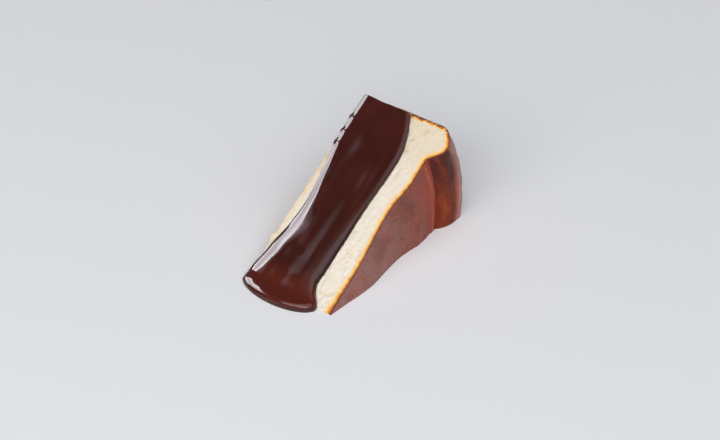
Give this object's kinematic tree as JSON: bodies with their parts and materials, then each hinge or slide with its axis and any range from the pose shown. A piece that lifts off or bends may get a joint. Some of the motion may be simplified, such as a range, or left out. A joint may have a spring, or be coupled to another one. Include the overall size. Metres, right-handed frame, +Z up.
{
  "type": "basque cheesecake slice",
  "caption": "Wedge of burnt basque cheesecake lying on one cut face, with a dark raised rim and a thick chocolate sauce poured over its upper cut face down to a small pool at the tip.",
  "frame": {"origin": "middle of the part's footprint, on the surface that the slice lies on", "axes": "+X out of the cake's burnt top, +Y from the slice's tip to the cake's rim, +Z up"},
  "size_m": [0.0544, 0.1112, 0.0566],
  "materials": {
    "cheesecake": "matte moist crumb with a satin burnt crust",
    "chocolate_sauce": "glossy"
  },
  "bodies": {
    "root": {"cheesecake_slice": "cheesecake", "chocolate_sauce": "chocolate_sauce"}
  },
  "joints": []
}
